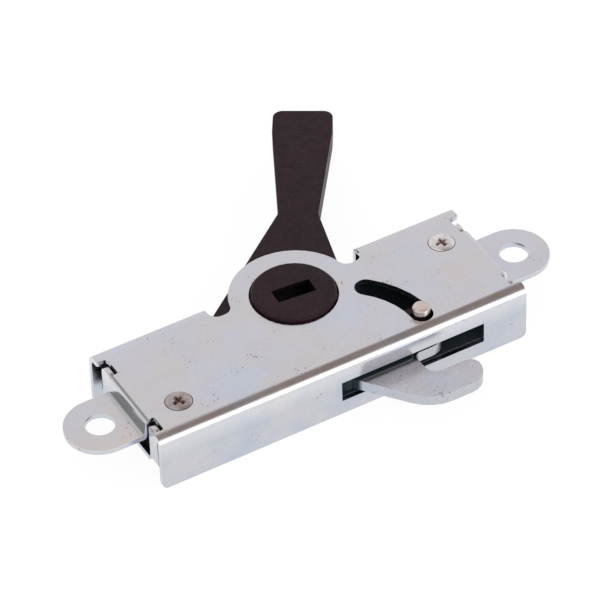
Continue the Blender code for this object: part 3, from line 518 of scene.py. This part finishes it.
def smoothing_group():
    """Welds a mesh's split corners and shades it smooth, apart from its sharp edges."""
    group = bpy.data.node_groups.new("smooth_by_angle", "GeometryNodeTree")
    for direction in ("INPUT", "OUTPUT"):
        group.interface.new_socket("Geometry", in_out=direction, socket_type="NodeSocketGeometry")
    nodes = Nodes(group)
    start, end = nodes.add("NodeGroupInput"), nodes.add("NodeGroupOutput")
    weld = nodes.add("GeometryNodeMergeByDistance")
    weld.inputs["Distance"].default_value = WELD_DISTANCE
    smooth = nodes.add("GeometryNodeSetShadeSmooth", domain="FACE")
    angle = nodes.add("GeometryNodeInputMeshEdgeAngle").outputs["Unsigned Angle"]
    sharp = nodes.math("GREATER_THAN", angle, math.radians(SMOOTH_ANGLE))
    crease = nodes.add("GeometryNodeSetShadeSmooth", domain="EDGE")
    crease.inputs["Shade Smooth"].default_value = False
    nodes.link(start.outputs[0], weld.inputs["Geometry"])
    nodes.link(weld.outputs["Geometry"], smooth.inputs["Geometry"])
    nodes.link(smooth.outputs["Geometry"], crease.inputs["Geometry"])
    nodes.link(sharp, crease.inputs["Selection"])
    nodes.link(crease.outputs["Geometry"], end.inputs[0])
    return group


def add_object(name, data):
    """A new object in the scene."""
    added = bpy.data.objects.new(name, data)
    bpy.context.scene.collection.objects.link(added)
    return added


def form_object(name, form):
    """A new object from a closed form, with the form's faces turned outwards."""
    bmesh.ops.recalc_face_normals(form, faces=form.faces)
    mesh = bpy.data.meshes.new(name)
    form.to_mesh(mesh)
    form.free()
    return add_object(name, mesh)


def dress(piece, material, group):
    """Gives a mesh its one material, and smooth faces."""
    piece.data.materials.clear()
    piece.data.materials.append(material)
    piece.modifiers.new("smooth", "NODES").node_group = group


def round_edges(piece, edge):
    """Softly rounded edges with clean shading."""
    bevel = piece.modifiers.new("edges", "BEVEL")
    bevel.width = edge
    bevel.segments = EDGE_SEGMENTS
    bevel.limit_method = "ANGLE"
    bevel.angle_limit = math.radians(SMOOTH_ANGLE)
    normals = piece.modifiers.new("normals", "WEIGHTED_NORMAL")
    normals.keep_sharp = False
    normals.weight = FACE_AREA_WEIGHT


def dress_nodes(group):
    """Gives each CAD node that stays in view its material and softly rounded edges."""
    sheet_zinc = zinc_material(
        "zinc_plate", smooth=0.18, rough=0.25, grain=Grain(depth=0.06, dark=0.14),
        painted_shade=case_painted_shade, shade_layer=ShadeLayer(share=0.93, metallic=0.25, gloss=PLATE_GLOSS))
    tumbled_zinc = zinc_material(
        "zinc_plate_tumbled", smooth=0.24, rough=0.32, grain=Grain(depth=0.35, dark=0.34),
        painted_shade=hook_painted_shade, shade_layer=ShadeLayer(share=0.985, metallic=0.02, gloss=0.08))
    nickel = metal_material("nickel", *NICKEL_COLOURS, smooth=0.12, rough=0.24)
    turn = next(joint for joint in frame["joints"] if joint["name"] == "lever_turn")
    black = black_material(Vector(turn["pos_m"]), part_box("thumb_lever")[1].z)
    finishes = [
        (sheet_zinc, SHEET_EDGE, ("case_cover", "base_plate")),
        (sheet_zinc, TURNED_EDGE, ("spacer_post_left", "spacer_post_right", "hook_pivot")),
        (tumbled_zinc, SHEET_EDGE, ("hook_bolt",)),
        (nickel, TURNED_EDGE, ("drive_pin",)),
        (black, CAST_EDGE, ("thumb_lever",)),
    ]
    for material, edge, names in finishes:
        for name in names:
            node = frame["nodes"][name]
            dress(node, material, group)
            round_edges(node, edge)


def make_spring(group):
    """The over-centre spring's wire, a dressed copy of its CAD node's mesh, which it hides."""
    steel = metal_material("spring_steel", *STEEL_COLOURS, smooth=0.22, rough=0.4)
    shape = frame["nodes"]["over_centre_spring"].data.copy()
    spring = add_object("over_centre_spring_wire", shape)
    dress(spring, steel, group)
    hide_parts("over_centre_spring")
    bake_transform(spring)


def cross(span, width, turn):
    """The outline of a cross recess, counter-clockwise."""
    arm, half = span / 2, width / 2
    quarter = [Vector((arm, -half)), Vector((arm, half)), Vector((half, half))]
    points = []
    for step in range(4):
        angle = math.radians(turn + 90 * step)
        points += [Matrix.Rotation(angle, 2) @ point for point in quarter]
    return points


def recess_tool(top, turn):
    """A cross that narrows downwards, to cut the driver's recess with."""
    form = bmesh.new()
    levels = [
        (RECESS_SPAN, RECESS_WIDTH, HEAD_DOME),
        (RECESS_SPAN, RECESS_WIDTH, 0.0),
        (RECESS_FLOOR_SPAN, RECESS_FLOOR_WIDTH, -RECESS_DEPTH),
    ]
    rings = []
    for span, width, height in levels:
        outline = cross(span, width, turn)
        rings.append([form.verts.new((point.x, point.y, top + height)) for point in outline])
    for upper, lower in zip(rings, rings[1:]):
        for i in range(len(upper)):
            j = (i + 1) % len(upper)
            form.faces.new((upper[i], upper[j], lower[j], lower[i]))
    form.faces.new(rings[0])
    form.faces.new(rings[-1][::-1])
    return form_object("recess_tool", form)


def screw_blank(name, radius, top, cover_top, foot):
    """A screw without its recess, turned about the Z axis from half of its outline."""
    crown = top - HEAD_DOME * CROWN_DROP
    profile = [
        (0.0, crown),
        *((radius * share, crown - HEAD_DOME * share ** DOME_POWER) for share in DOME_SHARES),
        (radius, cover_top - HEAD_EDGE),
        (radius * NECK_SHARE, cover_top - HEAD_DEPTH),
        (radius * SHANK_SHARE, foot + FOOT_HEIGHT),
        (radius * FOOT_SHARE, foot),
        (0.0, foot),
    ]
    form = bmesh.new()
    corners = [form.verts.new((across, 0.0, height)) for across, height in profile]
    sides = [form.edges.new(pair) for pair in zip(corners, corners[1:])]
    bmesh.ops.spin(form, geom=corners + sides, cent=(0, 0, 0), axis=(0, 0, 1),
                   angle=math.tau, steps=HEAD_STEPS)
    bmesh.ops.remove_doubles(form, verts=form.verts, dist=SEAM_DISTANCE)
    return form_object(name, form)


def make_screw(name, turn, colours):
    """A countersunk screw with a worn cross recess, in the place of its CAD node."""
    low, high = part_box(name)
    middle = (low + high) / 2
    radius = (high.x - low.x) / 2
    screw = screw_blank(name + "_detail", radius, high.z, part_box("case_cover")[1].z, low.z)
    tool = recess_tool(high.z, turn)
    cut = screw.modifiers.new("recess", "BOOLEAN")
    cut.operation, cut.solver, cut.object = "DIFFERENCE", "EXACT", tool
    bpy.context.view_layer.objects.active = screw
    bpy.ops.object.modifier_apply(modifier="recess")
    bpy.data.objects.remove(tool, do_unlink=True)
    screw.data.shade_smooth()
    screw.data.set_sharp_from_angle(angle=math.radians(SMOOTH_ANGLE))
    round_edges(screw, RECESS_EDGE)
    screw.location = (middle.x, middle.y, 0.0)
    screw.data.materials.append(screw_material(name, *colours, high.z))
    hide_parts(name)
    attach(screw, "case")


def camera_axes():
    """The camera's right, up and backward directions."""
    azimuth, elevation = math.radians(CAMERA_AZIMUTH), math.radians(CAMERA_ELEVATION)
    back = Vector((
        math.sin(azimuth) * math.cos(elevation),
        -math.cos(azimuth) * math.cos(elevation),
        math.sin(elevation),
    ))
    right = Vector((0, 0, 1)).cross(back).normalized()
    up = back.cross(right)
    roll = math.radians(CAMERA_ROLL)
    return (
        right * math.cos(roll) + up * math.sin(roll),
        up * math.cos(roll) - right * math.sin(roll),
        back,
    )


def make_camera():
    """The photograph's camera, aimed at a point on the cover's top."""
    right, up, back = camera_axes()
    cover_low, cover_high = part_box("case_cover")
    aim = Vector((AIM_RIGHT_OF_MIDDLE, cover_low.y + AIM_BEHIND_FRONT_WALL, cover_high.z))
    data = bpy.data.cameras.new("camera")
    data.sensor_width = CAMERA_SENSOR
    data.lens = CAMERA_LENS
    data.shift_x, data.shift_y = CAMERA_SHIFT
    data.clip_start, data.clip_end = CAMERA_NEAREST, CAMERA_FARTHEST
    camera = add_object("camera", data)
    turn = Matrix((right, up, back)).transposed().to_4x4()
    camera.matrix_world = Matrix.Translation(aim + back * CAMERA_DISTANCE) @ turn
    bpy.context.scene.camera = camera


def make_floor():
    """A plain white floor that keeps a faint shadow."""
    bpy.ops.mesh.primitive_plane_add(size=FLOOR_SIZE)
    floor = bpy.context.object
    floor.name = "floor"
    material = bpy.data.materials.new("floor")
    material.use_nodes = True
    nodes = Nodes(material.node_tree)
    material.node_tree.nodes.clear()
    output = nodes.add("ShaderNodeOutputMaterial")
    paper = nodes.add("ShaderNodeBsdfDiffuse")
    paper.inputs["Color"].default_value = FLOOR_COLOUR
    glow = nodes.add("ShaderNodeEmission")
    glow.inputs["Color"].default_value = WHITE
    glow.inputs["Strength"].default_value = FLOOR_BRIGHTNESS
    ray = nodes.add("ShaderNodeLightPath").outputs
    seen = nodes.math("MAXIMUM", ray["Is Camera Ray"], ray["Is Glossy Ray"])
    seen = nodes.math("MAXIMUM", seen, ray["Is Transmission Ray"])
    mix = nodes.add("ShaderNodeMixShader")
    nodes.link(nodes.math("MULTIPLY", seen, FLOOR_GLOW), mix.inputs["Fac"])
    nodes.link(paper.outputs["BSDF"], mix.inputs[1])
    nodes.link(glow.outputs["Emission"], mix.inputs[2])
    nodes.link(mix.outputs["Shader"], output.inputs["Surface"])
    floor.data.materials.append(material)


def overhead_flag(nodes, direction):
    """1 where the dim flag hangs over the right half of the set, 0 elsewhere, with soft edges."""
    height = nodes.math("MAXIMUM", direction["Z"], FLAG_LOWEST)
    across = nodes.math("DIVIDE", direction["X"], height)
    along = nodes.math("DIVIDE", direction["Y"], height)
    width = nodes.math("MULTIPLY", nodes.spread(across, *FLAG_LEFT_EDGE),
                       nodes.spread(across, *FLAG_RIGHT_EDGE, 1.0, 0.0))
    length = nodes.math("MULTIPLY", nodes.spread(along, *FLAG_FRONT_EDGE),
                        nodes.spread(along, *FLAG_BACK_EDGE, 1.0, 0.0))
    return nodes.math("MULTIPLY", width, length)


def make_world():
    """A pale studio with a dim flag overhead and a dim corner at the back left."""
    world = bpy.data.worlds.new("studio")
    world.use_nodes = True
    bpy.context.scene.world = world
    nodes = Nodes(world.node_tree)
    place = nodes.add("ShaderNodeTexCoord").outputs["Generated"]
    direction = nodes.parts(place)
    walls = nodes.ramp(direction["Z"], WALL_COLOURS)
    walls = nodes.mix(overhead_flag(nodes, direction), walls, FLAG_COLOUR)
    corner = nodes.add("ShaderNodeVectorMath", operation="DOT_PRODUCT")
    nodes.link(place, corner.inputs[0])
    corner.inputs[1].default_value = Vector(CORNER_DIRECTION).normalized()
    dim = nodes.spread(corner.outputs["Value"], *CORNER_EDGE, out_high=CORNER_SHARE)
    walls = nodes.mix(dim, walls, CORNER_COLOUR)
    seen = nodes.add("ShaderNodeLightPath").outputs["Is Camera Ray"]
    background = world.node_tree.nodes["Background"]
    nodes.link(nodes.mix(seen, walls, WHITE), background.inputs["Color"])


def make_panel():
    """A rectangular area light that faces the object."""
    data = bpy.data.lights.new("front_panel", "AREA")
    data.shape = "RECTANGLE"
    data.size, data.size_y = PANEL_SIZE
    data.energy = PANEL_POWER
    panel = add_object("front_panel", data)
    away = Vector(PANEL_DIRECTION).normalized()
    panel.location = away * PANEL_DISTANCE
    panel.rotation_euler = away.to_track_quat("Z", "Y").to_euler()


smoothing = smoothing_group()
dress_nodes(smoothing)
make_spring(smoothing)
make_screw("cover_screw_left", LEFT_RECESS_TURN, LEFT_SCREW_COLOURS)
make_screw("cover_screw_right", RIGHT_RECESS_TURN, RIGHT_SCREW_COLOURS)
make_floor()
make_world()
make_panel()
make_camera()
bpy.context.scene.view_settings.view_transform = "Standard"
